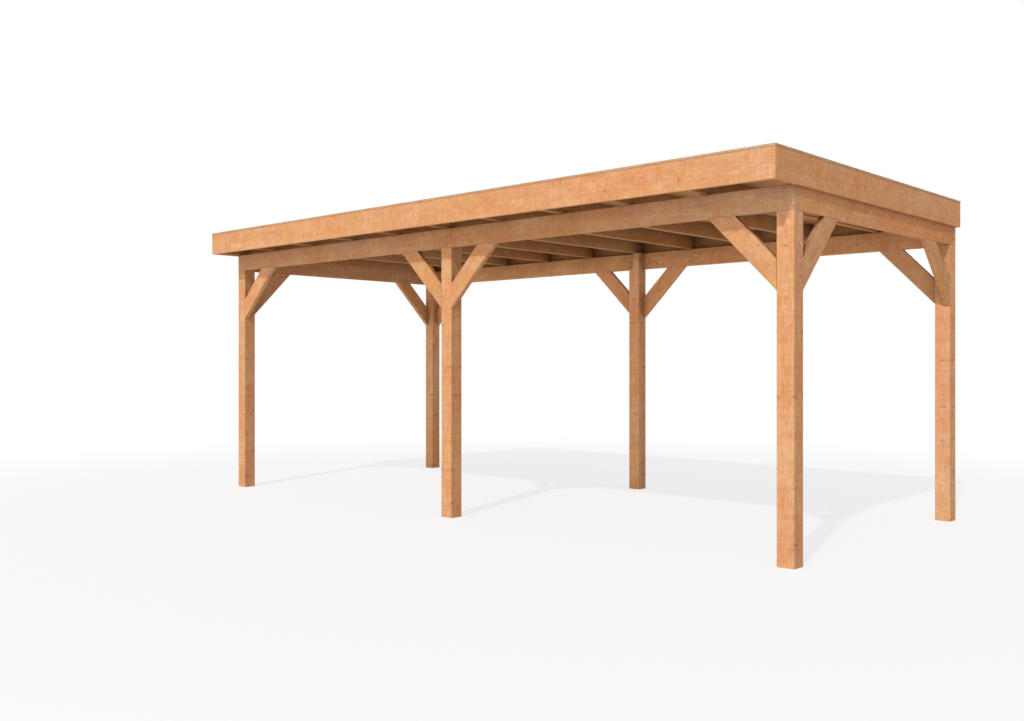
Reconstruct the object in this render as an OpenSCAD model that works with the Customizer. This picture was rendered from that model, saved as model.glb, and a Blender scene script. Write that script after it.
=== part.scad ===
// Free-standing timber patio cover. Six square posts carry a ring of plank beams let into their
// notched tops, braced by mitred knee braces. Joists lie across the long beams and reach forward
// past the front one. They carry a boarded flat roof, closed all round by a mitred fascia and cap.
// X runs along the length, Y from front to back and Z up. The origin is on the ground, under the
// middle of the roof.

/* [Post frame] */
// Length over the outer faces of the end posts
frame_l = 6220; // [4000:10:8000]
// Depth over the outer faces of the front and back posts
frame_d = 2740; // [2000:10:4000]
// Height from the ground to the underside of the beams
clear_h = 2225; // [1900:5:2700]
// Side of a square post
post_w = 120; // [100:1:160]

/* [Beams] */
// Thickness of a beam plank, which is also how deep it is let into a post
beam_t = 45; // [32:1:60]
// Height of a beam plank
beam_h = 161; // [120:1:220]

/* [Knee braces] */
// How far a brace reaches along the post and along the beam, to its lower edge
brace_reach = 495; // [350:5:800]
// Width of a brace, square across it
brace_w = 142; // [90:1:180]
// Thickness of a brace
brace_t = 45; // [32:1:60]

/* [Joists] */
// Thickness of a joist
joist_t = 45; // [38:1:75]
// Height of a joist
joist_h = 120; // [95:1:200]
// How far the joists reach past the front posts
front_reach = 260; // [0:5:600]

/* [Roof covering] */
// Thickness of the tongue and groove deck
deck_t = 18; // [16:1:28]
// Visible width of one deck board
deck_board_w = 125; // [80:1:200]
// Depth of the V between two deck boards, on their underside
deck_v = 3; // [1:0.5:5]
// Thickness of the waterproof membrane
membrane_t = 2; // [1:0.5:4]

/* [Roof edge] */
// Thickness of a fascia board
fascia_t = 28; // [18:1:40]
// Height of a fascia board
fascia_h = 195; // [170:1:300]
// How far the fascia hangs below the underside of the joists, over the tops of the beams
fascia_drop = 9; // [7:1:60]
// Width of the kerb batten that carries the cap and the edge of the membrane
kerb_w = 45; // [30:1:70]
// Thickness of the cap over fascia and kerb
cap_t = 18; // [12:1:28]
// How far the cap stands out past the fascia, and in past the kerb
cap_lip = 2; // [2:1:20]

/* [Timber] */
// Chamfer planed along the long edges of posts, beams and boards
arris = 3; // [1:0.5:6]

/* [Hidden] */

LEFT = -1;
RIGHT = 1;
FRONT = -1;
BACK = 1;
// Extra length of a cutting block past the face that it cuts
cut = 1;

joist_count = 11;
joist_pitch = (frame_l - joist_t) / (joist_count - 1);
beam_top = clear_h + beam_h;
deck_bottom = beam_top + joist_h;
deck_top = deck_bottom + deck_t;
fascia_bottom = beam_top - fascia_drop;
cap_bottom = fascia_bottom + fascia_h;
kerb_h = cap_bottom - deck_top;
roof_d = front_reach + frame_d;
// The middle posts stand halfway between the end posts
middle_post_x = (frame_l - post_w) / 2;
// The roof reaches further to the front than to the back, so its middle lies off the frame's
roof_middle_y = roof_d / 2 - front_reach;

post_color = [0.88, 0.64, 0.42];
beam_color = [0.82, 0.58, 0.38];
brace_color = [0.86, 0.60, 0.39];
joist_color = [0.66, 0.46, 0.31];
deck_color = [0.58, 0.42, 0.28];
fascia_color = [0.91, 0.66, 0.45];
cap_color = [0.79, 0.62, 0.47];
membrane_color = [0.16, 0.16, 0.17];

// Puts the front left corner of the post frame where it belongs in the finished cover
module in_place() {
    translate([-frame_l / 2, -roof_middle_y, 0]) children();
}

// Section of a planed timber, with its corners chamfered
module planed_section(w, h) {
    polygon([
        [arris, 0], [w - arris, 0], [w, arris], [w, h - arris],
        [w - arris, h], [arris, h], [0, h - arris], [0, arris]
    ]);
}

// A planed timber that runs along X, t deep along Y and h high
module plank(l, t, h) {
    rotate([90, 0, 90]) linear_extrude(l) planed_section(t, h);
}

// Swaps X and Y, so that what runs along the front runs along the left side
module turned_to_side() {
    mirror([1, -1, 0]) children();
}

// A post with its top cut back by a beam's thickness on one side and on the front or back face,
// so that two beams meet on it, flush with its outer faces
module post(side, face) {
    difference() {
        linear_extrude(beam_top) planed_section(post_w, post_w);
        translate([side == LEFT ? -cut : post_w - beam_t, -cut, clear_h])
            cube([beam_t + cut, post_w + 2 * cut, beam_h + cut]);
        translate([-cut, face == FRONT ? -cut : post_w - beam_t, clear_h])
            cube([post_w + 2 * cut, beam_t + cut, beam_h + cut]);
    }
}

// A knee brace that runs up towards +X at 45 degrees, mitred against the post's face at x = 0 and
// under the beam at z = 0
module brace() {
    across_mitre = sqrt(2) * brace_reach;
    intersection() {
        translate([0, 0, -brace_reach]) cube([brace_reach, brace_t, brace_reach]);
        translate([0, 0, -brace_reach])
            rotate([0, -45, 0])
                translate([-brace_w, 0, 0])
                    plank(across_mitre + 2 * brace_w, brace_t, brace_w);
    }
}

// A brace of the front or back frame, from the post face at x, under the beam that starts at y
module long_brace(x, y, towards) {
    translate([x, y, clear_h])
        if (towards == RIGHT) brace();
        else mirror([1, 0, 0]) brace();
}

// A brace of an end frame, from the post face at y, under the beam that starts at x
module end_brace(x, y, towards) {
    translate([x, y, clear_h])
        if (towards == BACK) turned_to_side() brace();
        else mirror([0, 1, 0]) turned_to_side() brace();
}

// One joist, counted from the left, on top of both long beams
module joist(number) {
    translate([(number - 1) * joist_pitch, -front_reach, beam_top])
        turned_to_side() plank(roof_d, joist_t, joist_h);
}

// A board along the front edge of a rectangle l long, outside it, with both ends mitred
module mitred_board(l, t, h) {
    intersection() {
        translate([-t, -t, 0]) plank(l + 2 * t, t, h);
        linear_extrude(h) polygon([[-t, -t], [l + t, -t], [l, 0], [0, 0]]);
    }
}

// The fascia board along the front of the joists' outline, which is l long
module fascia_board(l) {
    mitred_board(l, fascia_t, fascia_h);
}

// The cap along the same outline, from a lip inside the kerb to a lip outside the fascia
module cap_board(l) {
    inset = kerb_w + cap_lip;
    translate([inset, inset, 0])
        mitred_board(l - 2 * inset, inset + fascia_t + cap_lip, cap_t);
}

module front_left_post() color(post_color) in_place() post(LEFT, FRONT);
module front_middle_post() color(post_color) in_place()
    translate([middle_post_x, 0, 0]) post(LEFT, FRONT);
module front_right_post() color(post_color) in_place()
    translate([frame_l - post_w, 0, 0]) post(RIGHT, FRONT);
module back_left_post() color(post_color) in_place()
    translate([0, frame_d - post_w, 0]) post(LEFT, BACK);
module back_middle_post() color(post_color) in_place()
    translate([middle_post_x, frame_d - post_w, 0]) post(LEFT, BACK);
module back_right_post() color(post_color) in_place()
    translate([frame_l - post_w, frame_d - post_w, 0]) post(RIGHT, BACK);

// The long beams show their end grain at both ends, and the end beams run between them
module front_beam() color(beam_color) in_place()
    translate([0, 0, clear_h]) plank(frame_l, beam_t, beam_h);
module back_beam() color(beam_color) in_place()
    translate([0, frame_d - beam_t, clear_h]) plank(frame_l, beam_t, beam_h);
module left_beam() color(beam_color) in_place()
    translate([0, beam_t, clear_h])
        turned_to_side() plank(frame_d - 2 * beam_t, beam_t, beam_h);
module right_beam() color(beam_color) in_place()
    translate([frame_l - beam_t, beam_t, clear_h])
        turned_to_side() plank(frame_d - 2 * beam_t, beam_t, beam_h);

module front_left_brace() color(brace_color) in_place() long_brace(post_w, 0, RIGHT);
module front_middle_left_brace() color(brace_color) in_place() long_brace(middle_post_x, 0, LEFT);
module front_middle_right_brace() color(brace_color) in_place()
    long_brace(middle_post_x + post_w, 0, RIGHT);
module front_right_brace() color(brace_color) in_place() long_brace(frame_l - post_w, 0, LEFT);
module back_left_brace() color(brace_color) in_place()
    long_brace(post_w, frame_d - brace_t, RIGHT);
module back_middle_left_brace() color(brace_color) in_place()
    long_brace(middle_post_x, frame_d - brace_t, LEFT);
module back_middle_right_brace() color(brace_color) in_place()
    long_brace(middle_post_x + post_w, frame_d - brace_t, RIGHT);
module back_right_brace() color(brace_color) in_place()
    long_brace(frame_l - post_w, frame_d - brace_t, LEFT);
module left_front_brace() color(brace_color) in_place() end_brace(0, post_w, BACK);
module left_back_brace() color(brace_color) in_place() end_brace(0, frame_d - post_w, FRONT);
module right_front_brace() color(brace_color) in_place()
    end_brace(frame_l - brace_t, post_w, BACK);
module right_back_brace() color(brace_color) in_place()
    end_brace(frame_l - brace_t, frame_d - post_w, FRONT);

module joist_1() color(joist_color) in_place() joist(1);
module joist_2() color(joist_color) in_place() joist(2);
module joist_3() color(joist_color) in_place() joist(3);
module joist_4() color(joist_color) in_place() joist(4);
module joist_5() color(joist_color) in_place() joist(5);
module joist_6() color(joist_color) in_place() joist(6);
module joist_7() color(joist_color) in_place() joist(7);
module joist_8() color(joist_color) in_place() joist(8);
module joist_9() color(joist_color) in_place() joist(9);
module joist_10() color(joist_color) in_place() joist(10);
module joist_11() color(joist_color) in_place() joist(11);

// The deck covers the joists out to the fascia. A V runs along each board joint on the underside
module roof_deck() color(deck_color) in_place()
    translate([0, -front_reach, deck_bottom])
        difference() {
            cube([frame_l, roof_d, deck_t]);
            for (y = [deck_board_w : deck_board_w : roof_d - 2 * deck_v])
                translate([-cut, y, 0])
                    rotate([90, 0, 90])
                        linear_extrude(frame_l + 2 * cut)
                            polygon([[-deck_v - cut, -cut], [deck_v + cut, -cut], [0, deck_v]]);
        }

// Battens on the edge of the deck, as high as the fascia stands above it
module kerb_battens() color(joist_color) in_place()
    translate([0, -front_reach, deck_top])
        for (y = [0, roof_d - kerb_w], x = [0, frame_l - kerb_w]) {
            translate([0, y, 0]) plank(frame_l, kerb_w, kerb_h);
            translate([x, kerb_w, 0]) turned_to_side() plank(roof_d - 2 * kerb_w, kerb_w, kerb_h);
        }

// The membrane lies on the deck and turns up against the battens, to just under the cap
module roof_membrane() color(membrane_color) in_place()
    translate([kerb_w, kerb_w - front_reach, deck_top])
        difference() {
            cube([frame_l - 2 * kerb_w, roof_d - 2 * kerb_w, kerb_h]);
            translate([membrane_t, membrane_t, membrane_t])
                cube([
                    frame_l - 2 * kerb_w - 2 * membrane_t,
                    roof_d - 2 * kerb_w - 2 * membrane_t,
                    kerb_h
                ]);
        }

module front_fascia() color(fascia_color) in_place()
    translate([0, -front_reach, fascia_bottom]) fascia_board(frame_l);
module back_fascia() color(fascia_color) in_place()
    translate([0, frame_d, fascia_bottom]) mirror([0, 1, 0]) fascia_board(frame_l);
module left_fascia() color(fascia_color) in_place()
    translate([0, -front_reach, fascia_bottom]) turned_to_side() fascia_board(roof_d);
module right_fascia() color(fascia_color) in_place()
    translate([frame_l, -front_reach, fascia_bottom])
        mirror([1, 0, 0]) turned_to_side() fascia_board(roof_d);

module front_cap() color(cap_color) in_place()
    translate([0, -front_reach, cap_bottom]) cap_board(frame_l);
module back_cap() color(cap_color) in_place()
    translate([0, frame_d, cap_bottom]) mirror([0, 1, 0]) cap_board(frame_l);
module left_cap() color(cap_color) in_place()
    translate([0, -front_reach, cap_bottom]) turned_to_side() cap_board(roof_d);
module right_cap() color(cap_color) in_place()
    translate([frame_l, -front_reach, cap_bottom])
        mirror([1, 0, 0]) turned_to_side() cap_board(roof_d);

front_left_post();
front_middle_post();
front_right_post();
back_left_post();
back_middle_post();
back_right_post();
front_beam();
back_beam();
left_beam();
right_beam();
front_left_brace();
front_middle_left_brace();
front_middle_right_brace();
front_right_brace();
back_left_brace();
back_middle_left_brace();
back_middle_right_brace();
back_right_brace();
left_front_brace();
left_back_brace();
right_front_brace();
right_back_brace();
joist_1();
joist_2();
joist_3();
joist_4();
joist_5();
joist_6();
joist_7();
joist_8();
joist_9();
joist_10();
joist_11();
roof_deck();
kerb_battens();
roof_membrane();
front_fascia();
back_fascia();
left_fascia();
right_fascia();
front_cap();
back_cap();
left_cap();
right_cap();
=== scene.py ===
"""Looks for a flat-roofed timber patio cover: solid timber for every member, tongue and groove roof
boards, plugs and screws, a rubber roof, a floor, soft daylight and the camera. All sizes are metres in
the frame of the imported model."""

import functools
import math
import random

import bmesh
import bpy
from mathutils import Euler, Matrix, Vector


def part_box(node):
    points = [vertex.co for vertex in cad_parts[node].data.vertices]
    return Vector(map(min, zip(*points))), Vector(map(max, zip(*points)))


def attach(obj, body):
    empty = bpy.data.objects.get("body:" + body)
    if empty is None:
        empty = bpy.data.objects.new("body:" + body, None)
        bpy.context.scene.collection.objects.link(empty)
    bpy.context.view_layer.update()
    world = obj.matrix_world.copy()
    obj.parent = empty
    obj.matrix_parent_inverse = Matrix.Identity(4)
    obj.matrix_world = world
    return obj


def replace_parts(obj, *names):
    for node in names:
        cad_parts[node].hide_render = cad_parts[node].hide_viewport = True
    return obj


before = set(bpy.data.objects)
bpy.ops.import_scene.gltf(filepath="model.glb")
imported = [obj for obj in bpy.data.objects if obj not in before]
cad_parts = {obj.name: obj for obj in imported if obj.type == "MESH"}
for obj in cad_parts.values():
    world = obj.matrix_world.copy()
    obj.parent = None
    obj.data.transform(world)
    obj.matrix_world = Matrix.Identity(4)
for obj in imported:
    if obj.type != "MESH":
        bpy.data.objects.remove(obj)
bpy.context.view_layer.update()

# Camera: level, 1.28 m up, off the front right corner
CAMERA_PLACE = Vector((6.137, -7.091, 1.280))
CAMERA_TURN = math.radians(43.38)
LENS_MM = 36.04
SENSOR_MM = 36.0
CAMERA_SHIFT = (0.0120, 0.0019)

# Daylight: a sun, a long low soft box in front of the cover, and an even fill from the sky
SUN_FROM = Vector((0.33, -1.0, 0.86))
SUN_STRENGTH = 1.56
SUN_WIDTH = math.radians(1.8)
SOFT_PLACE = Vector((0.0, -16.0, 1.5))
SOFT_SIZE = (24.0, 2.9)
SOFT_POWER = 850.0
SKY_FILL = 0.43

# Floor: the grey that lights the object from below, the grey that is seen, the share of plain white laid
# over that near the object, how far the floor reaches, and where it turns to plain white only
FLOOR_BOUNCE = 0.85
FLOOR_PALE = 0.98
FLOOR_WHITE = 0.76
FLOOR_REACH = 60.0
FLOOR_FADE = (4.5, 9.0)

# Colours, linear
WHITE = (1.0, 1.0, 1.0)
EARLY_WOOD = (0.715, 0.354, 0.164)
LATE_WOOD = (0.560, 0.246, 0.100)
KNOT_RIM = (0.260, 0.088, 0.026)
KNOT_HEART = (0.420, 0.155, 0.048)
STEEL_COAT = (0.150, 0.075, 0.032)
STEEL_WORN = (0.330, 0.250, 0.170)
RUBBER_CLEAN = (0.020, 0.021, 0.022)
RUBBER_DUST = (0.075, 0.070, 0.062)
RUBBER_GRIT = (0.045, 0.045, 0.045)

# Noise patterns in the wood, by how many times they change in a metre along and across the grain
PATTERNS = {
    "slow": dict(along=0.75, across=2.2),
    "waver": dict(along=7.0, across=26.0, detail=1.0),
    "fibre": dict(along=9.0, across=420.0, roughness=0.6),
    "pores": dict(along=45.0, across=1500.0, detail=1.0),
    "streak": dict(along=0.9, across=30.0, detail=3.0, roughness=0.55),
    "chatter": dict(along=48.0, across=5.0, roughness=0.6),
    "cloud": dict(along=5.5, across=8.0, detail=4.0, roughness=0.68, distortion=0.4),
    "mottle": dict(along=24.0, across=36.0, roughness=0.6, distortion=0.8),
    "blush": dict(along=6.0, across=9.0, detail=4.0, roughness=0.72, distortion=0.5),
    "straw": dict(along=5.0, across=12.0, detail=4.0, roughness=0.72),
    "board": dict(along=0.8, across=1.5, detail=1.0),
    "warmth": dict(along=1.1, across=2.0),
}
# How far each pattern swings the light and dark of the wood, and its green and blue
FINE_SWINGS = {"fibre": 0.20, "chatter": 0.13, "pores": 0.16}
BROAD_SWINGS = {"streak": 0.13, "cloud": 0.26, "mottle": 0.22}
BOARD_SWINGS = {"plank": 0.20, "post": 0.13}
GREEN_SWINGS = {"blush": 0.28, "chatter": 0.05, "warmth": 0.12}
BLUE_SWINGS = {"blush": 0.26, "straw": 0.34, "warmth": 0.24}
# How red, green and blue follow the fine and the broad swings: dark wood is the more saturated
FINE_DEPTH = (0.73, 1.04, 1.50)
BROAD_DEPTH = (0.45, 1.07, 2.00)

# Growth rings: the range of their width, how far they wander and waver, how many of them a knot pushes
# aside, where in a year the late wood rises and falls, its least strength and how much that differs from
# year to year, and how far it darkens the wood
RING_WIDTHS = (0.0041, 0.0058)
RING_WANDER = 0.085
RING_WAVER = 0.006
RING_PUSH = 2.6
LATE_RISE = (0.30, 0.90)
LATE_FALL = (0.93, 1.0)
LATE_LEAST = 0.45
LATE_SPREAD = 0.7
LATE_DARK = 0.45

# The pith: how far it may lie off the middle of a post, how far to the side of a plank's middle as a share
# of its half width, and the range of how far before or behind that middle
POST_PITH = 0.012
PLANK_PITH_SIDE = 0.3
PLANK_PITH_DEPTHS = (0.045, 0.085)
# The range of the shift that gives each piece of wood its own place in the patterns
SHIFTS = (3.0, 40.0)

# Knots: how many times their ragged outline changes in a metre, and the least and the spread of what that
# does to the distance from their middle
RAGGED_SCALE = 90.0
RAGGED_LEAST = 0.75
RAGGED_SPREAD = 0.5
# Knots in planks: cells in a metre, how loosely the knots are scattered over them, the share of cells that
# hold one, the range of its radius, how far it slants through the plank, and how much shorter it is along
# the grain than across it
PLANK_CELLS = 4.6
KNOT_SCATTER = 0.85
PLANK_KNOT_SHARE = 0.22
PLANK_KNOT_RADII = (0.008, 0.017)
KNOT_SLANT = 0.35
KNOT_SQUEEZE = 2.2
# Knots in posts: the stretch of post to one whorl of branches, the branches in a whorl, the width of post
# to each, the share of them that shows, the range of a knot's radius, and how much shorter it is along the
# grain than across it
WHORL_PITCH = 0.30
WHORL_ARMS = 4
WHORL_ARC = 0.094
POST_KNOT_SHARE = 0.75
POST_KNOT_RADII = (0.013, 0.021)
WHORL_SQUEEZE = 2.0
# In shares of that stretch: the lowest place of a whorl, how far above it a whorl may lie, and how far a
# branch may lie above its whorl
WHORL_LOWEST = 0.12
WHORL_SPREAD = 0.7
WHORL_UNEVEN = 0.06
# Pin knots: cells in a metre, the range of a knot's radius, the stretch of plank to one swarm, where a
# swarm thins out from its middle, the share of cells that hold a knot inside and outside it, and how much
# of that share is left on a post
PIN_CELLS = 15.0
PIN_KNOT_RADII = (0.003, 0.008)
SWARM_PITCH = 2.0
SWARM_REACH = (0.08, 0.42)
SWARM_SHARES = (0.70, 0.04)
POST_PIN_SHARE = 0.12
# In radii from a knot's middle: where its own colour fades, and where its pull on the grain does
KNOT_EDGE = (0.55, 1.15)
KNOT_PULL = (0.6, 3.4)
# Rings in a knot's radius, how much late wood shows round a knot, and how much of a knot's colour shows
KNOT_RINGS = 2.0
KNOT_HALO = 0.20
KNOT_STRENGTH = {"plank": 0.72, "post": 0.60}

# Arrises: the least width that is worn pale, how much the fibres add to it, and how much paler it is
ARRIS_WIDTH = 0.001
ARRIS_FRAY = 0.010
ARRIS_LIGHT = 0.10
# End grain: how much paler it is, and from what facing along the grain a face counts as cut across it
END_LIGHT = 0.12
END_FACING = (0.45, 0.65)
# Painted shade in the corners and along the joints, from an ambient occlusion look-up: how far it reaches,
# how dark it gets, how many rays look for it, and the heights between which it fades out towards the
# ground
CORNER_SHADE_REACH = 0.24
CORNER_SHADE_DARK = 0.86
CORNER_SAMPLES = 6
GROUND_FADE = (0.05, 0.35)

# Roughness of the wood and what adds to it, its gloss, and its relief by what adds to that
ROUGH_BASE = 0.66
ROUGH_BY = {"late": -0.10, "fibre": 0.10, "knot": -0.16, "end grain": 0.12}
WOOD_GLOSS = 0.10
RELIEF_BY = {"fibre": 0.45, "late": 0.35, "pores": 0.25, "knot": 0.30}
RELIEF_STRENGTH = 0.35
RELIEF_DEPTH = 0.0006

# Tints on the common timber, by the word in the node's name: the cap is greyer, and the joists, the kerb
# and the roof boards are darker and less red, which partly paints the shade under the roof
TINTS = {
    "cap": (0.77, 0.94, 1.15),
    "joist": (0.83, 0.89, 0.82),
    "kerb": (0.83, 0.89, 0.82),
    "deck": (0.95, 0.97, 0.90),
}
# Each piece of wood has its own shade, which is partly its own tone and partly painted light and shade for
# where it stands: lighter at the back under the roof, darker on the back fascia; the first word that fits
# counts
OWN_TONES_AND_PAINTED_LIGHT = {
    "front_beam": (0.82, 0.86, 0.91),
    "right_beam": (1.02, 0.96, 0.89),
    "left_beam": (0.87, 0.97, 1.03),
    "back_beam": (1.01, 1.07, 1.03),
    "front_right_post": (0.99, 1.02, 1.08),
    "front_middle_post": (0.96, 0.96, 0.95),
    "front_left_post": (0.94, 0.96, 0.99),
    "back_middle_post": (1.10, 1.17, 1.22),
    "back_right_post": (1.04, 1.08, 1.15),
    "back_right_brace": (0.93, 1.00, 1.05),
    "right_back_brace": (0.90, 0.90, 0.85),
    "left_front_brace": (0.95, 1.09, 1.22),
    "left_back_brace": (0.93, 1.04, 1.03),
    "front_left_brace": (0.98, 0.99, 1.03),
    "front_right_brace": (0.93, 0.96, 0.99),
    "right_fascia": (1.02, 1.00, 1.00),
    "front_fascia": (0.95, 0.93, 0.93),
    "back_fascia": (0.86, 0.86, 0.78),
    "back_": (1.07, 1.09, 1.11),
    "brace": (0.92, 0.91, 0.90),
}
# How knotty a member is, where that isn't 1
KNOTS = {"cap": 0.2, "fascia": 0.6, "brace": 0.6, "beam": 0.7, "deck": 0.8}
# How far along from its middle a member has a swarm of pin knots, if that isn't left to chance
SWARMS = {"front_fascia": 2.3, "right_fascia": 0.9}
# How much of the painted corner shade a member takes
CORNER_SHADE_SHARES = {"cap": 0.1, "back_fascia": 1.0, "fascia": 0.1}
# The seed of the first member's wood, counted on in the order of their names
FIRST_SEED = 100

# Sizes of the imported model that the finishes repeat
BRACE_WIDTH = 0.142
BOARD_THICKNESS = 0.018
COURSE = 0.125
COURSE_V = 0.003
# A half size that no arris comes near
BOUNDLESS = 8.0

# Roof boards: half the gap at a butt joint, the joists, counted from 0, that the first joint of a course
# may lie over, the bays from one joint to the next, the ranges of a board's place in the wood and of its
# tone, and the width below which what is left gets no course
BUTT_GAP = 0.0004
FIRST_BUTTS = (2, 3, 4)
BUTT_BAYS = (4, 5, 6)
BOARD_SHIFTS = (-40.0, 40.0)
BOARD_TONES = (0.86, 1.12)
NARROWEST_COURSE = 0.001
LAYOUT_SEED = 5
DECK_SEED = 77

# Profiles of the fixings from the sunk edge to the middle: a share of the radius, a height over the face,
# and the depth of the lobes as a share of the radius
PLUG_PROFILE = (
    (1.00, -0.0020, 0.0),
    (1.00, 0.0001, 0.0),
    (0.95, 0.0004, 0.0),
)
SCREW_PROFILE = (
    (0.80, -0.0015, 0.0),
    (1.00, -0.0001, 0.0),
    (0.97, 0.0004, 0.0),
    (0.88, 0.0006, 0.0),
    (0.42, 0.0006, 0.16),
    (0.36, 0.0001, 0.16),
)
LOBES = 6
PLUG_SIDES = 20
SCREW_SIDES = 24
SCREW_RADIUS = 0.0042
PLUG_TINT = (0.95, 0.93, 0.92)
PLUG_SEED = 61
# Beam plugs: their radius, how far each lies from the post's middle and over the beam's lower edge, how
# near it may come to the beam's end, and how near a beam's face is to the middle of a post that carries it
BEAM_PLUG_RADIUS = 0.0055
BEAM_PLUGS = ((-0.032, 0.035), (0.030, 0.075), (-0.028, 0.115))
BEAM_PLUG_MARGIN = 0.018
POST_NEAR_BEAM = 0.2
# Fascia plugs: their radius, how far the lower row lies below the joists' middle, and how many a row has
# on the left and right
FASCIA_PLUG_RADIUS = 0.005
JOIST_PLUG_DROP = 0.012
END_PLUGS = 6
# Cap screws: how far they lie inside the kerb's outer edges, and about how far apart they are
CAP_SCREW_INSET = 0.0225
CAP_SCREW_PITCH = 0.6
# Brace screws: how far each lies from the brace's end, and from the middle of its edge
BRACE_SCREWS = ((0.075, -0.010), (0.115, 0.010))

# Steel: the scale of the worn specks, where they begin and end, the roughness of the coat, what the wear
# adds to it, and how metallic it is
SPECK_SCALE = 600.0
SPECK_EDGE = (0.52, 0.68)
STEEL_ROUGH = 0.46
SPECK_ROUGH = -0.12
STEEL_METALLIC = 0.6

# Rubber: the scales of its wrinkles, dust and grit, where dust begins and ends, how much of the dust and
# the grit shows, the roughness of the sheet and what they add to it, and its relief
WRINKLE_SCALE = (1.6, 2.6, 2.6)
DUST_SCALE = (0.9, 1.1, 1.1)
GRIT_SCALE = 260.0
DUST_EDGE = (0.46, 0.70)
DUST_SHARE = 0.55
GRIT_SHARE = 0.25
RUBBER_ROUGH = 0.56
DUST_ROUGH = 0.22
GRIT_ROUGH = 0.10
GRIT_RELIEF = 0.02
WRINKLE_STRENGTH = 0.6
WRINKLE_DEPTH = 0.006

# The way that each side of the cover looks
OUTWARD = {
    "front": Vector((0, -1, 0)),
    "back": Vector((0, 1, 0)),
    "left": Vector((-1, 0, 0)),
    "right": Vector((1, 0, 0)),
}
UP = Vector((0, 0, 1))


# ---------------------------------------------------------------- camera


def make_camera():
    lens = bpy.data.cameras.new("camera")
    lens.lens = LENS_MM
    lens.sensor_width = SENSOR_MM
    lens.shift_x, lens.shift_y = CAMERA_SHIFT
    camera = bpy.data.objects.new("camera", lens)
    camera.location = CAMERA_PLACE
    camera.rotation_euler = Euler((math.radians(90), 0.0, CAMERA_TURN))
    bpy.context.scene.collection.objects.link(camera)
    bpy.context.scene.camera = camera


make_camera()


# ---------------------------------------------------------------- node helpers


class Graph:
    """Short names for adding and joining shader nodes in one tree."""

    def __init__(self, tree):
        self.tree = tree

    def node(self, kind, **settings):
        made = self.tree.nodes.new(kind)
        for name, value in settings.items():
            setattr(made, name, value)
        return made

    def feed(self, socket, value):
        if isinstance(value, bpy.types.NodeSocket):
            self.tree.links.new(value, socket)
        elif value is not None:
            socket.default_value = value

    def math(self, operation, a, b=None, c=None, clamp=False):
        made = self.node("ShaderNodeMath", operation=operation, use_clamp=clamp)
        for socket, value in zip(made.inputs, (a, b, c)):
            self.feed(socket, value)
        return made.outputs[0]

    def vector(self, operation, a, b=None, scale=None):
        made = self.node("ShaderNodeVectorMath", operation=operation)
        self.feed(made.inputs[0], a)
        self.feed(made.inputs[1], b)
        if scale is not None:
            self.feed(made.inputs["Scale"], scale)
        return made.outputs["Value" if operation in ("LENGTH", "DOT_PRODUCT") else "Vector"]

    def split(self, vector):
        made = self.node("ShaderNodeSeparateXYZ")
        self.feed(made.inputs[0], vector)
        return tuple(made.outputs)

    def join(self, x, y, z):
        made = self.node("ShaderNodeCombineXYZ")
        for socket, value in zip(made.inputs, (x, y, z)):
            self.feed(socket, value)
        return made.outputs[0]

    def noise(self, vector, detail=2.0, roughness=0.5, distortion=0.0):
        made = self.node("ShaderNodeTexNoise")
        self.feed(made.inputs["Vector"], vector)
        self.feed(made.inputs["Scale"], 1.0)
        self.feed(made.inputs["Detail"], detail)
        self.feed(made.inputs["Roughness"], roughness)
        self.feed(made.inputs["Distortion"], distortion)
        return made.outputs["Fac"]

    def smooth(self, value, low, high, to_low=0.0, to_high=1.0):
        made = self.node("ShaderNodeMapRange", interpolation_type="SMOOTHSTEP")
        for socket, number in zip(made.inputs, (value, low, high, to_low, to_high)):
            self.feed(socket, number)
        return made.outputs[0]

    def mix(self, share, a, b):
        made = self.node("ShaderNodeMix", data_type="RGBA")
        self.feed(made.inputs["Factor"], share)
        self.feed(made.inputs[6], a)
        self.feed(made.inputs[7], b)
        return made.outputs[2]

    def object_place(self):
        """The place of the shaded point in its object's own frame."""
        return self.node("ShaderNodeTexCoord").outputs["Object"]

    def stored(self, name, form):
        """A value that is stored on the mesh, in the form that is asked for: Vector or Fac."""
        return self.node("ShaderNodeAttribute", attribute_name=name).outputs[form]

    def seen(self):
        """1 for the rays of the camera and of reflections, and 0 for those that light the object."""
        rays = self.node("ShaderNodeLightPath").outputs
        seen = self.math("MAXIMUM", rays["Is Camera Ray"], rays["Is Glossy Ray"])
        return self.math("MAXIMUM", seen, rays["Is Transmission Ray"])


def rgba(colour):
    return (*colour, 1.0)


def grey(level):
    return (level, level, level, 1.0)


def new_material(name):
    """(the material, its graph, its shader)"""
    material = bpy.data.materials.new(name)
    material.use_nodes = True
    return material, Graph(material.node_tree), material.node_tree.nodes["Principled BSDF"]


def add_bump(g, shader, height, strength, distance):
    bump = g.node("ShaderNodeBump")
    bump.inputs["Strength"].default_value = strength
    bump.inputs["Distance"].default_value = distance
    g.feed(bump.inputs["Height"], height)
    g.feed(shader.inputs["Normal"], bump.outputs[0])


# ---------------------------------------------------------------- timber


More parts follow.
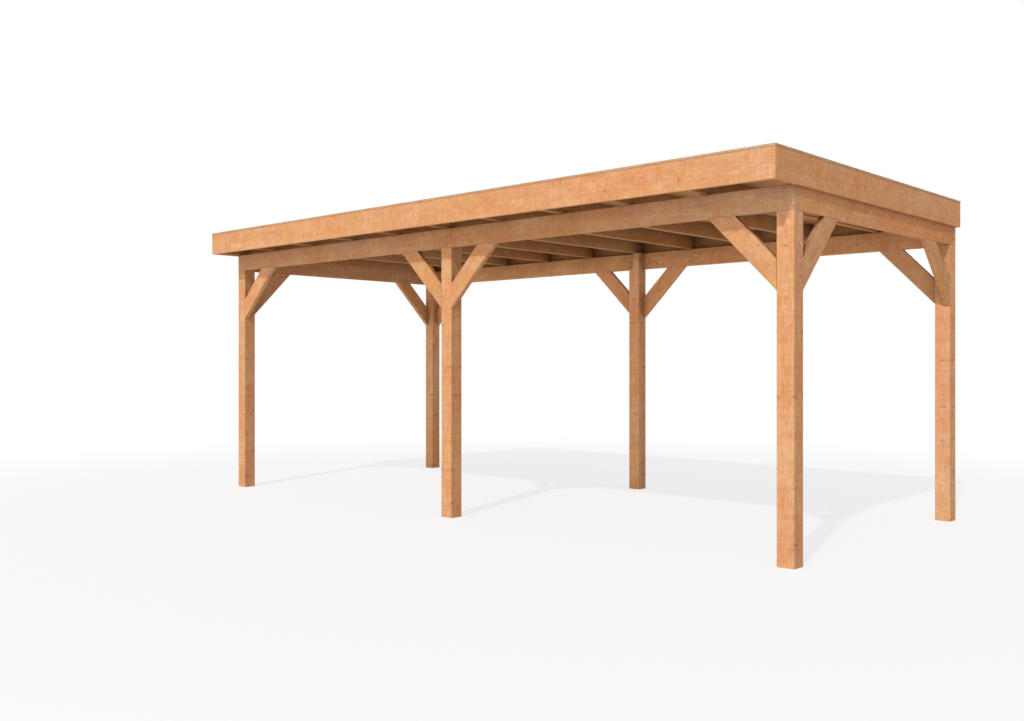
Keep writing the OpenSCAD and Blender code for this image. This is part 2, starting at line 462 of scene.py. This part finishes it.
class Timber(Graph):
    """Makes the node group for solid softwood round a pith line: X runs along the grain, Y across the
    broad face of the member and Z through it."""

    INPUTS = {
        "Place": "Vector",
        "Shift": "Vector",
        "Pith": "Vector",
        "Half size": "Vector",
        "Ring": "Float",
        "Knots": "Float",
        "Swarm": "Float",
        "Round": "Float",
        "Tone": "Float",
        "Corner shade": "Float",
        "Tint": "Vector",
        "End grain": "Float",
    }
    OUTPUTS = {"Color": "Color", "Roughness": "Float", "Height": "Float"}

    def __init__(self):
        super().__init__(bpy.data.node_groups.new("solid_softwood", "ShaderNodeTree"))
        for way, sockets in (("INPUT", self.INPUTS), ("OUTPUT", self.OUTPUTS)):
            for name, kind in sockets.items():
                self.tree.interface.new_socket(name, in_out=way, socket_type="NodeSocket" + kind)
        self.given = self.node("NodeGroupInput").outputs
        self.patterns = {}
        place = self.given["Place"]
        self.shifted = self.vector("ADD", place, self.given["Shift"])
        self.along, self.across, self.through = self.split(place)
        _, self.pith_y, self.pith_z = self.split(self.vector("SUBTRACT", place, self.given["Pith"]))
        self.place_knots()

    def place_knots(self):
        """Where the shaded point lies among the knots, and how ragged their outlines are there."""
        shift_x, shift_y, _ = self.split(self.given["Shift"])
        self.knot_x = self.math("ADD", self.along, shift_x)
        flat = self.math("ADD", self.across, self.math("MULTIPLY", self.through, KNOT_SLANT))
        knot_y = self.math("ADD", flat, shift_y)
        self.knot_place = self.join(self.math("MULTIPLY", self.knot_x, KNOT_SQUEEZE), knot_y, 0.0)
        ragged = self.noise(self.vector("SCALE", self.shifted, scale=RAGGED_SCALE), detail=1.0)
        self.ragged = self.math("MULTIPLY_ADD", ragged, RAGGED_SPREAD, RAGGED_LEAST)

    def pattern(self, name):
        """One of the noise patterns, round 0.5, made the first time that it is asked for."""
        if name not in self.patterns:
            settings = dict(PATTERNS[name])
            along, across = settings.pop("along"), settings.pop("across")
            stretched = self.vector("MULTIPLY", self.shifted, (along, across, across))
            self.patterns[name] = self.noise(stretched, **settings)
        return self.patterns[name]

    def swing(self, name, amount):
        """A factor round 1 that swings by the amount with a pattern."""
        centred = self.math("MULTIPLY_ADD", self.pattern(name), 2.0, -1.0)
        return self.math("MULTIPLY_ADD", centred, amount, 1.0)

    def swings(self, amounts):
        """The product of the swings of several patterns."""
        factors = (self.swing(name, amount) for name, amount in amounts.items())
        return functools.reduce(lambda total, factor: self.math("MULTIPLY", total, factor), factors)

    def deepened(self, factor, depth):
        """The factor in each channel, raised to that channel's depth."""
        return self.join(*(self.math("POWER", factor, power) for power in depth))

    def total(self, start, weights, values):
        """start plus each of the values times its weight."""
        for name, weight in weights.items():
            start = self.math("MULTIPLY_ADD", values[name], weight, start)
        return start

    def by_round(self, plank, post):
        """The post's value where the member has its pith inside, and else the plank's."""
        made = self.node("ShaderNodeMix", data_type="FLOAT")
        self.feed(made.inputs["Factor"], self.given["Round"])
        self.feed(made.inputs[2], plank)
        self.feed(made.inputs[3], post)
        return made.outputs[0]

    def dice(self, dimensions, **inputs):
        """Three random numbers for each whole number, or pair of them, that is fed in."""
        made = self.node("ShaderNodeTexWhiteNoise", noise_dimensions=dimensions)
        for name, value in inputs.items():
            self.feed(made.inputs[name], value)
        return self.split(made.outputs["Color"])

    def knot(self, chance, share, away, size, radii):
        """(1 where the chance falls in the share, the distance away over the knot's radius)"""
        smallest, largest = radii
        radius = self.math("MULTIPLY_ADD", size, largest - smallest, smallest)
        return self.math("LESS_THAN", chance, share), self.math("DIVIDE", away, radius)

    def scattered_knot(self, cells_per_metre, share, radii):
        """The nearest knot of those that are scattered over the broad face of a plank."""
        cells = self.node("ShaderNodeTexVoronoi", voronoi_dimensions="2D")
        self.feed(cells.inputs["Vector"], self.knot_place)
        self.feed(cells.inputs["Scale"], cells_per_metre)
        self.feed(cells.inputs["Randomness"], KNOT_SCATTER)
        chance, size, _ = self.split(cells.outputs["Color"])
        in_metres = self.math("MULTIPLY", self.ragged, 1.0 / cells_per_metre)
        away = self.math("MULTIPLY", cells.outputs["Distance"], in_metres)
        return self.knot(chance, share, away, size, radii)

    def whorled_knot(self, share, radii):
        """The nearest knot of a post, in the whorl of branches that its stretch of the post has."""
        stretch = self.math("DIVIDE", self.knot_x, WHORL_PITCH)
        whorl = self.math("FLOOR", stretch)
        start, turn, _ = self.dice("1D", W=whorl)
        round_pith = self.math("ARCTAN2", self.pith_z, self.pith_y)
        arms = self.math("MULTIPLY_ADD", round_pith, WHORL_ARMS / math.tau, turn)
        arm = self.math("FLOORED_MODULO", self.math("FLOOR", arms), WHORL_ARMS)
        lift, size, chance = self.dice("2D", Vector=self.join(whorl, arm, 0.0))
        height = self.math("MULTIPLY_ADD", lift, WHORL_UNEVEN, WHORL_LOWEST)
        height = self.math("MULTIPLY_ADD", start, WHORL_SPREAD, height)
        along_gap = self.math("SUBTRACT", self.math("FRACT", stretch), height)
        along_gap = self.math("MULTIPLY", along_gap, WHORL_PITCH)
        side_gap = self.math("SUBTRACT", self.math("FRACT", arms), 0.5)
        side_gap = self.math("MULTIPLY", side_gap, WHORL_ARC)
        away = self.join(self.math("MULTIPLY", along_gap, WHORL_SQUEEZE), side_gap, 0.0)
        away = self.math("MULTIPLY", self.vector("LENGTH", away), self.ragged)
        return self.knot(chance, share, away, size, radii)

    def pin_share(self):
        """The share of cells that hold a pin knot: large in a swarm, and small on a post."""
        from_swarm = self.math("SUBTRACT", self.along, self.given["Swarm"])
        from_swarm = self.math("PINGPONG", from_swarm, SWARM_PITCH / 2)
        share = self.smooth(from_swarm, *SWARM_REACH, *SWARM_SHARES)
        return self.math("MULTIPLY", share, self.by_round(1.0, POST_PIN_SHARE))

    def near_knot(self, knots, fade):
        """1 in the middle of a knot, falling to 0 over the fade, which is in radii of the knot."""
        near = (self.math("MULTIPLY", kept, self.smooth(ratio, *fade, 1.0, 0.0)) for kept, ratio in knots)
        return self.math("MAXIMUM", *near)

    def all_knots(self):
        """(how far inside a knot the point is, how hard a knot pulls on its grain, how many radii it lies
        from the middle of the nearest knot)"""
        amount = self.given["Knots"]
        plank_share = self.math("MULTIPLY", amount, PLANK_KNOT_SHARE)
        plank = self.scattered_knot(PLANK_CELLS, plank_share, PLANK_KNOT_RADII)
        post = self.whorled_knot(self.math("MULTIPLY", amount, POST_KNOT_SHARE), POST_KNOT_RADII)
        big = [self.by_round(*values) for values in zip(plank, post)]
        pin_share = self.math("MULTIPLY", amount, self.pin_share())
        pin = self.scattered_knot(PIN_CELLS, pin_share, PIN_KNOT_RADII)
        nearest = self.math("MINIMUM", big[1], pin[1])
        return self.near_knot((big, pin), KNOT_EDGE), self.near_knot((big, pin), KNOT_PULL), nearest

    def late_wood(self, pull):
        """0 in the early wood of each year, rising to about 1 in its late wood."""
        wander = self.math("MULTIPLY", self.math("SUBTRACT", self.pattern("slow"), 0.5), RING_WANDER)
        waver = self.math("SUBTRACT", self.pattern("waver"), 0.5)
        wander = self.math("MULTIPLY_ADD", waver, RING_WAVER, wander)
        radius = self.vector("LENGTH", self.join(0.0, self.pith_y, self.pith_z))
        rings = self.math("DIVIDE", self.math("ADD", radius, wander), self.given["Ring"])
        rings = self.math("MULTIPLY_ADD", pull, RING_PUSH, rings)
        phase = self.math("FRACT", rings)
        rise = self.smooth(phase, *LATE_RISE)
        late = self.math("MULTIPLY", rise, self.smooth(phase, *LATE_FALL, 1.0, 0.0))
        year = self.node("ShaderNodeTexWhiteNoise", noise_dimensions="1D")
        self.feed(year.inputs["W"], self.math("FLOOR", rings))
        strength = self.math("MULTIPLY_ADD", year.outputs["Value"], LATE_SPREAD, LATE_LEAST)
        return self.math("MULTIPLY", late, strength)

    def figure(self, late):
        """The colour of the wood before its knots and its light."""
        late_share = self.math("MULTIPLY", late, LATE_DARK)
        colour = self.mix(late_share, rgba(EARLY_WOOD), rgba(LATE_WOOD))
        hue = self.join(1.0, self.swings(GREEN_SWINGS), self.swings(BLUE_SWINGS))
        colour = self.vector("MULTIPLY", colour, hue)
        colour = self.vector("MULTIPLY", colour, self.given["Tint"])
        board = self.swing("board", self.by_round(BOARD_SWINGS["plank"], BOARD_SWINGS["post"]))
        broad = self.math("MULTIPLY", self.swings(BROAD_SWINGS), board)
        colour = self.vector("MULTIPLY", colour, self.deepened(self.swings(FINE_SWINGS), FINE_DEPTH))
        return self.vector("MULTIPLY", colour, self.deepened(broad, BROAD_DEPTH))

    def arris_light(self):
        """A factor that is larger along the arrises, which are sanded and worn."""
        _, half_y, half_z = self.split(self.given["Half size"])
        gap_y = self.math("SUBTRACT", half_y, self.math("ABSOLUTE", self.across))
        gap_z = self.math("SUBTRACT", half_z, self.math("ABSOLUTE", self.through))
        gap = self.math("ADD", gap_y, gap_z)
        width = self.math("MULTIPLY_ADD", self.pattern("fibre"), ARRIS_FRAY, ARRIS_WIDTH)
        return self.math("MULTIPLY_ADD", self.smooth(gap, 0.0, width, 1.0, 0.0), ARRIS_LIGHT, 1.0)

    def painted_corner_shade(self):
        """A factor that is smaller in the corners and along the joints: painted shade where nearby parts
        hide the sky.
        """
        open_sky = self.node("ShaderNodeAmbientOcclusion", samples=CORNER_SAMPLES)
        open_sky.inputs["Distance"].default_value = CORNER_SHADE_REACH
        closed = self.math("SUBTRACT", 1.0, open_sky.outputs["AO"])
        _, _, height = self.split(self.node("ShaderNodeNewGeometry").outputs["Position"])
        closed = self.math("MULTIPLY", closed, self.smooth(height, *GROUND_FADE, 0.0, CORNER_SHADE_DARK))
        closed = self.math("MULTIPLY", closed, self.given["Corner shade"])
        return self.math("SUBTRACT", 1.0, closed)

    def lit(self, colour):
        """The colour times the board's tone and what arrises and end grain do to it, with painted shade in
        the corners.
        """
        end_light = self.math("MULTIPLY_ADD", self.given["End grain"], END_LIGHT, 1.0)
        light = self.math("MULTIPLY", self.given["Tone"], self.arris_light())
        light = self.math("MULTIPLY", light, end_light)
        # painted shade in the corners and along the joints
        light = self.math("MULTIPLY", light, self.painted_corner_shade())
        return self.vector("SCALE", colour, scale=light)

    def knotted(self, colour, knot, pull, nearest):
        """The colour with its knots laid over it, and a halo of late wood round them."""
        rings = self.math("FRACT", self.math("MULTIPLY", nearest, KNOT_RINGS))
        knot_colour = self.mix(rings, rgba(KNOT_HEART), rgba(KNOT_RIM))
        halo = self.math("SUBTRACT", pull, knot, clamp=True)
        colour = self.mix(self.math("MULTIPLY", halo, KNOT_HALO), colour, rgba(LATE_WOOD))
        strength = self.by_round(KNOT_STRENGTH["plank"], KNOT_STRENGTH["post"])
        return self.mix(self.math("MULTIPLY", knot, strength), colour, knot_colour)

    def build(self):
        """Joins everything to the group's outputs, and gives the group."""
        knot, pull, nearest = self.all_knots()
        late = self.late_wood(pull)
        values = {
            "late": late,
            "fibre": self.pattern("fibre"),
            "pores": self.pattern("pores"),
            "knot": knot,
            "end grain": self.given["End grain"],
        }
        colour = self.knotted(self.lit(self.figure(late)), knot, pull, nearest)
        result = self.node("NodeGroupOutput")
        self.feed(result.inputs["Color"], colour)
        self.feed(result.inputs["Roughness"], self.total(ROUGH_BASE, ROUGH_BY, values))
        self.feed(result.inputs["Height"], self.total(0.0, RELIEF_BY, values))
        return self.tree


TIMBER = Timber().build()


def pith_place(dice, half, round_pith):
    """Where the pith line runs: inside a post, or before or behind a plank."""
    if round_pith:
        return 0.0, dice.uniform(-POST_PITH, POST_PITH), dice.uniform(-POST_PITH, POST_PITH)
    side = dice.uniform(-PLANK_PITH_SIDE, PLANK_PITH_SIDE) * half[1]
    return 0.0, side, dice.choice((-1, 1)) * dice.uniform(*PLANK_PITH_DEPTHS)


def wood_shader(
    name,
    seed,
    place,
    half,
    tint,
    knots,
    end_grain=lambda g: 0.0,
    swarm=None,
    corner_shade=1.0,
    tone=lambda g: 1.0,
    round_pith=False,
):
    """A timber material. place, end_grain and tone are functions of its graph: place gives the grain
    coordinates, and half is the half size in them."""
    dice = random.Random(seed)
    pith = pith_place(dice, half, round_pith)
    shift = tuple(dice.uniform(*SHIFTS) for _ in range(3))
    ring = dice.uniform(*RING_WIDTHS)
    if swarm is None:
        swarm = dice.uniform(0.0, SWARM_PITCH)
    material, g, shader = new_material(name)
    wood = g.node("ShaderNodeGroup", node_tree=TIMBER)
    given = {
        "Place": place(g),
        "Shift": shift,
        "Pith": pith,
        "Half size": tuple(half),
        "Ring": ring,
        "Knots": knots,
        "Swarm": swarm,
        "Round": float(round_pith),
        "Tone": tone(g),
        "Corner shade": corner_shade,
        "Tint": tint,
        "End grain": end_grain(g),
    }
    for socket, value in given.items():
        g.feed(wood.inputs[socket], value)
    g.feed(shader.inputs["Base Color"], wood.outputs["Color"])
    g.feed(shader.inputs["Roughness"], wood.outputs["Roughness"])
    shader.inputs["Specular IOR Level"].default_value = WOOD_GLOSS
    add_bump(g, shader, wood.outputs["Height"], RELIEF_STRENGTH, RELIEF_DEPTH)
    return material


def across_grain(g, grain):
    """1 on faces cut across the grain and 0 along it."""
    normal = g.node("ShaderNodeTexCoord").outputs["Normal"]
    facing = g.vector("DOT_PRODUCT", normal, tuple(grain))
    return g.smooth(g.math("ABSOLUTE", facing), *END_FACING)


def member_material(node, seed):
    """Timber for one CAD member, with its grain along the member."""
    centre, turn, half = grain_frame(node)

    def place(g):
        local = g.node("ShaderNodeMapping", vector_type="TEXTURE")
        g.feed(local.inputs["Vector"], g.object_place())
        local.inputs["Location"].default_value = centre
        local.inputs["Rotation"].default_value = turn
        return local.outputs[0]

    return wood_shader(
        "wood_" + node,
        seed,
        place,
        half,
        member_tint(node),
        by_word(KNOTS, node, 1.0),
        end_grain=lambda g: across_grain(g, turn.to_matrix().col[0]),
        swarm=by_word(SWARMS, node, None),
        corner_shade=by_word(CORNER_SHADE_SHARES, node, 1.0),
        round_pith="post" in node,
    )


def member_tint(node):
    """The tint of the member's kind times its own shade, which also holds painted light and shade."""
    channels = zip(by_word(TINTS, node, WHITE), by_word(OWN_TONES_AND_PAINTED_LIGHT, node, WHITE))
    return tuple(tint * shade for tint, shade in channels)


def by_word(table, node, otherwise):
    """The table's value for the first of its words that the node's name holds."""
    return next((value for word, value in table.items() if word in node), otherwise)


def middle(node):
    low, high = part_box(node)
    return (low + high) / 2


def grain_frame(node):
    """(centre, turn, half size) of a member's grain frame: X along the grain, Y across the broad face."""
    low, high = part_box(node)
    centre, size = middle(node), high - low
    order = sorted(range(3), key=lambda axis: -size[axis])
    axes = [Vector([float(i == axis) for i in range(3)]) for axis in order]
    if "brace" in node:
        level = next(axis for axis in axes[:2] if axis.z == 0)
        along = (level * brace_lean(node, level) + UP).normalized()
        through = axes[2]
        across = through.cross(along)
        half = Vector((max(size) * math.sqrt(0.5), BRACE_WIDTH / 2, min(size) / 2))
        centre += across * middle_offset(node, across, centre)
    else:
        along, across = axes[0], axes[1]
        through = along.cross(across)
        half = Vector([size[axis] / 2 for axis in order])
    return centre, Matrix((along, across, through)).transposed().to_euler(), half


def brace_lean(node, level):
    """+1 where the brace's top end lies further along the level direction than its foot, or else -1."""
    points = [v.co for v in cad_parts[node].data.vertices]
    top, foot = max(points, key=lambda p: p.z), min(points, key=lambda p: p.z)
    return 1.0 if (top - foot).dot(level) > 0 else -1.0


def middle_offset(node, across, centre):
    """How far the member's own middle lies from the middle of its box, measured across it."""
    reach = [(v.co - centre).dot(across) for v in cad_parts[node].data.vertices]
    return (max(reach) + min(reach)) / 2


def paint(part, material):
    part.data.materials.clear()
    part.data.materials.append(material)


def finish_timber():
    """Gives every timber member its own piece of wood."""
    members = [node for node in sorted(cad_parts) if node not in ("roof_membrane", "roof_deck")]
    for seed, node in enumerate(members, FIRST_SEED):
        paint(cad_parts[node], member_material(node, seed))


finish_timber()


# ---------------------------------------------------------------- roof boards


def add_piece(name, bm, material):
    """Turns bmesh data into a piece that rides on the cover."""
    mesh = bpy.data.meshes.new(name)
    bm.to_mesh(mesh)
    bm.free()
    mesh.materials.append(material)
    piece = bpy.data.objects.new(name, mesh)
    bpy.context.scene.collection.objects.link(piece)
    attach(piece, "root")
    return piece


def deck_material():
    """Timber for the roof boards: each board has its own place in the wood and its own tone."""
    return wood_shader(
        "wood_deck_boards",
        DECK_SEED,
        lambda g: g.vector("SUBTRACT", g.object_place(), g.stored("board_start", "Vector")),
        (BOUNDLESS, COURSE / 2, BOARD_THICKNESS / 2),
        TINTS["deck"],
        KNOTS["deck"],
        end_grain=lambda g: across_grain(g, (1.0, 0.0, 0.0)),
        tone=lambda g: g.stored("board_tone", "Fac"),
    )


def board_ends(dice, low, high, joists):
    """Ends of the boards in one course, with butt joints over joists, four to six bays apart."""
    ends = [low]
    spot = dice.choice(FIRST_BUTTS)
    while spot < len(joists) - 2:
        ends.append(joists[spot])
        spot += dice.choice(BUTT_BAYS)
    return [*ends, high]


def add_board(bm, starts, tones, x, y, z, dice):
    """One tongue and groove board between the ends in x, y and z, with both lower edges chamfered."""
    (x0, x1), (y0, y1), (z0, z1) = x, y, z
    chamfered = z0 + COURSE_V
    lower = [(y0, chamfered), (y0 + COURSE_V, z0), (y1 - COURSE_V, z0), (y1, chamfered)]
    section = [*lower, (y1, z1), (y0, z1)]
    near = [bm.verts.new((x0, *point)) for point in section]
    far = [bm.verts.new((x1, *point)) for point in section]
    start = Vector((dice.uniform(*BOARD_SHIFTS), (y0 + y1) / 2, (z0 + z1) / 2))
    tone = dice.uniform(*BOARD_TONES)
    for vert in near + far:
        vert[starts] = start
        vert[tones] = tone
    bm.faces.new(near)
    bm.faces.new(reversed(far))
    for i in range(len(section)):
        j = (i + 1) % len(section)
        bm.faces.new((near[j], near[i], far[i], far[j]))


def make_deck():
    """Tongue and groove boards in courses from front to back, butted over the joists."""
    low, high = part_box("roof_deck")
    joists = sorted(middle(n).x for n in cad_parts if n.startswith("joist_"))
    dice = random.Random(LAYOUT_SEED)
    bm = bmesh.new()
    starts = bm.verts.layers.float_vector.new("board_start")
    tones = bm.verts.layers.float.new("board_tone")
    y0 = low.y
    while y0 < high.y - NARROWEST_COURSE:
        y1 = min(y0 + COURSE, high.y)
        ends = board_ends(dice, low.x, high.x, joists)
        for x0, x1 in zip(ends, ends[1:]):
            inner = (x0 + BUTT_GAP * (x0 > low.x), x1 - BUTT_GAP * (x1 < high.x))
            add_board(bm, starts, tones, inner, (y0, y1), (low.z, high.z), dice)
        y0 = y1
    bmesh.ops.recalc_face_normals(bm, faces=bm.faces)
    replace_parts(add_piece("deck_boards", bm, deck_material()), "roof_deck")


make_deck()


# ---------------------------------------------------------------- plugs and screws


def add_disc(bm, place, axis, radius, profile, sides):
    """A closed turned shape on the face that looks along the axis."""
    on_face = Matrix.Translation(place) @ axis.to_track_quat("Z", "Y").to_matrix().to_4x4()
    loops = []
    for share, height, lobes in profile:
        loop = []
        for i in range(sides):
            angle = math.tau * i / sides
            reach = radius * share * (1.0 + lobes * math.cos(LOBES * angle))
            spot = Vector((reach * math.cos(angle), reach * math.sin(angle), height))
            loop.append(bm.verts.new(on_face @ spot))
        loops.append(loop)
    for outer, inner in zip(loops, loops[1:]):
        for i in range(sides):
            j = (i + 1) % sides
            bm.faces.new((outer[i], outer[j], inner[j], inner[i]))
    bm.faces.new(loops[-1])
    bm.faces.new(reversed(loops[0]))


def add_plug(bm, place, axis, radius):
    """A wooden plug over a sunk screw, planed almost flush."""
    add_disc(bm, place, axis, radius, PLUG_PROFILE, PLUG_SIDES)


def add_screw(bm, place, axis):
    """A countersunk screw head with a six-lobed recess."""
    add_disc(bm, place, axis, SCREW_RADIUS, SCREW_PROFILE, SCREW_SIDES)


def screw_material():
    """Brown coated steel, with the coat worn off in specks."""
    material, g, shader = new_material("coated_steel")
    specks = g.noise(g.vector("SCALE", g.object_place(), scale=SPECK_SCALE), detail=3.0, roughness=0.6)
    worn = g.smooth(specks, *SPECK_EDGE)
    g.feed(shader.inputs["Base Color"], g.mix(worn, rgba(STEEL_COAT), rgba(STEEL_WORN)))
    g.feed(shader.inputs["Roughness"], g.math("MULTIPLY_ADD", worn, SPECK_ROUGH, STEEL_ROUGH))
    shader.inputs["Metallic"].default_value = STEEL_METALLIC
    return material


def plug_material():
    boundless = (BOUNDLESS, BOUNDLESS, BOUNDLESS)
    return wood_shader("wood_plugs", PLUG_SEED, lambda g: g.object_place(), boundless, PLUG_TINT, 0.0)


def outer_face(node):
    """(the way that a beam's or fascia board's outer face looks, its axis, where it lies on that)"""
    low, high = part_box(node)
    out = OUTWARD[node.split("_")[0]]
    axis = 0 if out.x else 1
    return out, axis, high[axis] if out[axis] > 0 else low[axis]


def point_on(axis, face, spot, level):
    """The point at a spot along an upright face and at a level."""
    return Vector((face, spot, level) if axis == 0 else (spot, face, level))


def evenly(low, high, count):
    """The middles of that many equal stretches between low and high."""
    return [low + (high - low) * (i + 0.5) / count for i in range(count)]


def beam_plugs(bm):
    """Plugs where each beam is screwed to a post's notch, three on a slant."""
    for post in (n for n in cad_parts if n.endswith("_post")):
        centre = middle(post)
        for beam in ("front_beam", "back_beam", "left_beam", "right_beam"):
            out, axis, face = outer_face(beam)
            if abs(centre[axis] - face) > POST_NEAR_BEAM:
                continue
            along = 1 - axis
            low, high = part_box(beam)
            first, last = low[along] + BEAM_PLUG_MARGIN, high[along] - BEAM_PLUG_MARGIN
            for side, level in BEAM_PLUGS:
                spot = min(max(centre[along] + side, first), last)
                add_plug(bm, point_on(axis, face, spot, low.z + level), out, BEAM_PLUG_RADIUS)


def fascia_plugs(bm):
    """Plugs in the fascia over the joist ends below and the kerb above."""
    joists = [middle(n).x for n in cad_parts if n.startswith("joist_")]
    levels = (middle("joist_1").z - JOIST_PLUG_DROP, middle("kerb_battens").z)
    for name in ("front_fascia", "back_fascia", "left_fascia", "right_fascia"):
        low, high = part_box(name)
        out, axis, face = outer_face(name)
        for spot in joists if axis == 1 else evenly(low.y, high.y, END_PLUGS):
            for level in levels:
                add_plug(bm, point_on(axis, face, spot, level), out, FASCIA_PLUG_RADIUS)


def cap_screws(bm):
    """Screws down through the cap into the kerb battens."""
    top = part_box("front_cap")[1].z
    low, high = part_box("kerb_battens")
    for axis in (1, 0):
        along = 1 - axis
        count = round((high[along] - low[along]) / CAP_SCREW_PITCH)
        for line in (low[axis] + CAP_SCREW_INSET, high[axis] - CAP_SCREW_INSET):
            for spot in evenly(low[along], high[along], count):
                add_screw(bm, point_on(axis, line, spot, top), UP)


def brace_screws(bm):
    """Two screws at each end of a brace, up through its lower edge."""
    for node in (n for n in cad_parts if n.endswith("_brace")):
        centre, turn, half = grain_frame(node)
        along, across, through = turn.to_matrix().col
        down = across if across.z < 0 else -across
        for end in (-1, 1):
            for step, side in BRACE_SCREWS:
                reach = half.x - step
                place = centre + down * half.y + along * end * reach + through * side
                add_screw(bm, place, down)


def make_fixings():
    plugs = bmesh.new()
    beam_plugs(plugs)
    fascia_plugs(plugs)
    add_piece("wood_plugs", plugs, plug_material())
    screws = bmesh.new()
    cap_screws(screws)
    brace_screws(screws)
    add_piece("screw_heads", screws, screw_material())


make_fixings()


# ---------------------------------------------------------------- roof membrane


def membrane_material():
    """Matt black rubber sheet with shallow wrinkles and a little dust in patches."""
    material, g, shader = new_material("rubber_sheet")
    spot = g.object_place()
    stretched = g.vector("MULTIPLY", spot, WRINKLE_SCALE)
    wrinkle = g.noise(stretched, detail=4.0, roughness=0.55, distortion=0.8)
    grit = g.noise(g.vector("SCALE", spot, scale=GRIT_SCALE))
    dust = g.noise(g.vector("MULTIPLY", spot, DUST_SCALE), detail=5.0, roughness=0.62, distortion=0.5)
    dusty = g.smooth(dust, *DUST_EDGE)
    colour = g.mix(g.math("MULTIPLY", dusty, DUST_SHARE), rgba(RUBBER_CLEAN), rgba(RUBBER_DUST))
    colour = g.mix(g.math("MULTIPLY", grit, GRIT_SHARE), colour, rgba(RUBBER_GRIT))
    rough = g.math("MULTIPLY_ADD", dusty, DUST_ROUGH, RUBBER_ROUGH)
    g.feed(shader.inputs["Base Color"], colour)
    g.feed(shader.inputs["Roughness"], g.math("MULTIPLY_ADD", grit, GRIT_ROUGH, rough))
    height = g.math("MULTIPLY_ADD", grit, GRIT_RELIEF, wrinkle)
    add_bump(g, shader, height, WRINKLE_STRENGTH, WRINKLE_DEPTH)
    return material


paint(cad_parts["roof_membrane"], membrane_material())


# ---------------------------------------------------------------- stage


def floor_material():
    """Where it is seen, pale near the object and plain white further out; a plain grey for the light;
    and clear from below."""
    material = bpy.data.materials.new("pale_floor")
    material.use_nodes = True
    material.node_tree.nodes.clear()
    g = Graph(material.node_tree)
    seen = g.seen()
    far = g.smooth(g.vector("LENGTH", g.object_place()), *FLOOR_FADE)
    white_share = g.math("MULTIPLY_ADD", far, 1.0 - FLOOR_WHITE, FLOOR_WHITE)
    matt = g.node("ShaderNodeBsdfDiffuse")
    g.feed(matt.inputs["Color"], g.mix(seen, grey(FLOOR_BOUNCE), grey(FLOOR_PALE)))
    white = g.node("ShaderNodeEmission")
    blended = g.node("ShaderNodeMixShader")
    g.feed(blended.inputs[0], g.math("MULTIPLY", seen, white_share))
    g.feed(blended.inputs[1], matt.outputs[0])
    g.feed(blended.inputs[2], white.outputs[0])
    clear = g.node("ShaderNodeBsdfTransparent")
    sided = g.node("ShaderNodeMixShader")
    g.feed(sided.inputs[0], g.node("ShaderNodeNewGeometry").outputs["Backfacing"])
    g.feed(sided.inputs[1], blended.outputs[0])
    g.feed(sided.inputs[2], clear.outputs[0])
    g.feed(g.node("ShaderNodeOutputMaterial").inputs["Surface"], sided.outputs[0])
    return material


def make_floor():
    """A pale floor that keeps the shadow near the object and turns plain white further out."""
    bm = bmesh.new()
    bmesh.ops.create_grid(bm, x_segments=1, y_segments=1, size=FLOOR_REACH)
    mesh = bpy.data.meshes.new("floor")
    bm.to_mesh(mesh)
    bm.free()
    floor = bpy.data.objects.new("floor", mesh)
    bpy.context.scene.collection.objects.link(floor)
    mesh.materials.append(floor_material())


def make_world():
    """White where the camera or a reflection sees it, and a soft plain fill for the light."""
    world = bpy.data.worlds.new("studio")
    world.use_nodes = True
    world.node_tree.nodes.clear()
    g = Graph(world.node_tree)
    back = g.node("ShaderNodeBackground")
    back.inputs["Color"].default_value = rgba(WHITE)
    g.feed(back.inputs["Strength"], g.math("MULTIPLY_ADD", g.seen(), 1.0 - SKY_FILL, SKY_FILL))
    g.feed(g.node("ShaderNodeOutputWorld").inputs["Surface"], back.outputs[0])
    bpy.context.scene.world = world


def add_lamp(lamp, place, towards):
    """Hangs a lamp so that its light comes from the way that towards points, unseen by the camera."""
    holder = bpy.data.objects.new(lamp.name, lamp)
    holder.location = place
    holder.rotation_euler = towards.to_track_quat("Z", "Y").to_euler()
    holder.visible_camera = False
    bpy.context.scene.collection.objects.link(holder)


def make_lamps():
    """A sun from high on the front right, and a long low soft box that reaches under the roof."""
    sun = bpy.data.lights.new("key", "SUN")
    sun.energy = SUN_STRENGTH
    sun.angle = SUN_WIDTH
    add_lamp(sun, Vector(), SUN_FROM)
    soft = bpy.data.lights.new("soft_front", "AREA")
    soft.shape = "RECTANGLE"
    soft.energy = SOFT_POWER
    soft.size, soft.size_y = SOFT_SIZE
    add_lamp(soft, SOFT_PLACE, OUTWARD["front"])


make_floor()
make_world()
make_lamps()
bpy.context.scene.view_settings.view_transform = "Standard"
